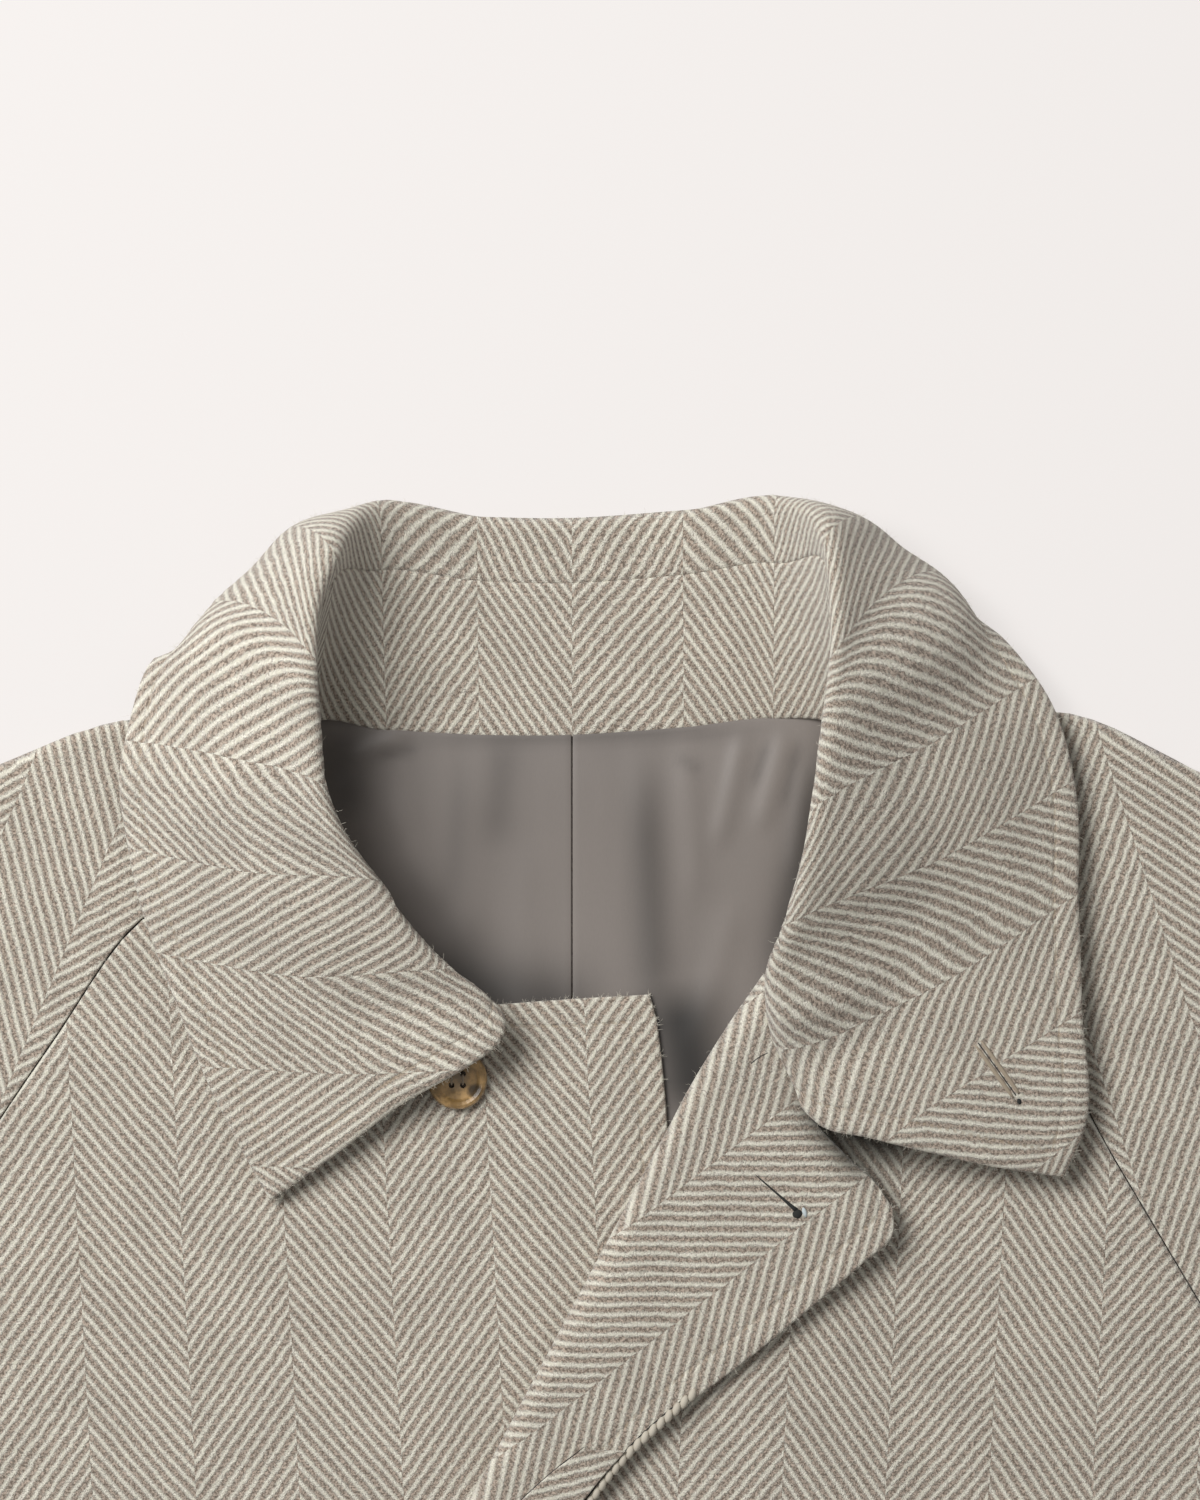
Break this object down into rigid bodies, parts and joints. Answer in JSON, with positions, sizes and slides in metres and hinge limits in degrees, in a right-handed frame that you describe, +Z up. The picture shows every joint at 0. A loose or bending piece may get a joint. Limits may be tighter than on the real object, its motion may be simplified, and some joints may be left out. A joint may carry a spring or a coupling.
{
  "type": "balmacaan coat",
  "caption": "Single-breasted raglan coat in heavy herringbone wool, laid flat on its back with its collar up at the neck and the left front folded open.",
  "frame": {"origin": "centre back of the neck seam, on the surface that the coat lies on", "axes": "+X towards the wearer's left sleeve, +Y from the hem up to the collar, +Z up from the surface"},
  "size_m": [1.1518, 1.165, 0.0561],
  "materials": {
    "wool": "brushed herringbone wool",
    "lining": "satin",
    "horn": "polished horn"
  },
  "bodies": {
    "root": {"back": "wool", "sleeve_right": "wool", "sleeve_left": "wool", "front_right": "wool", "front_left": "wool", "facing_left": "wool", "fly_left": "wool", "collar_stand": "wool", "collar_fall": "wool", "lining_back_right": "lining", "lining_back_left": "lining", "button": "horn"}
  },
  "joints": []
}
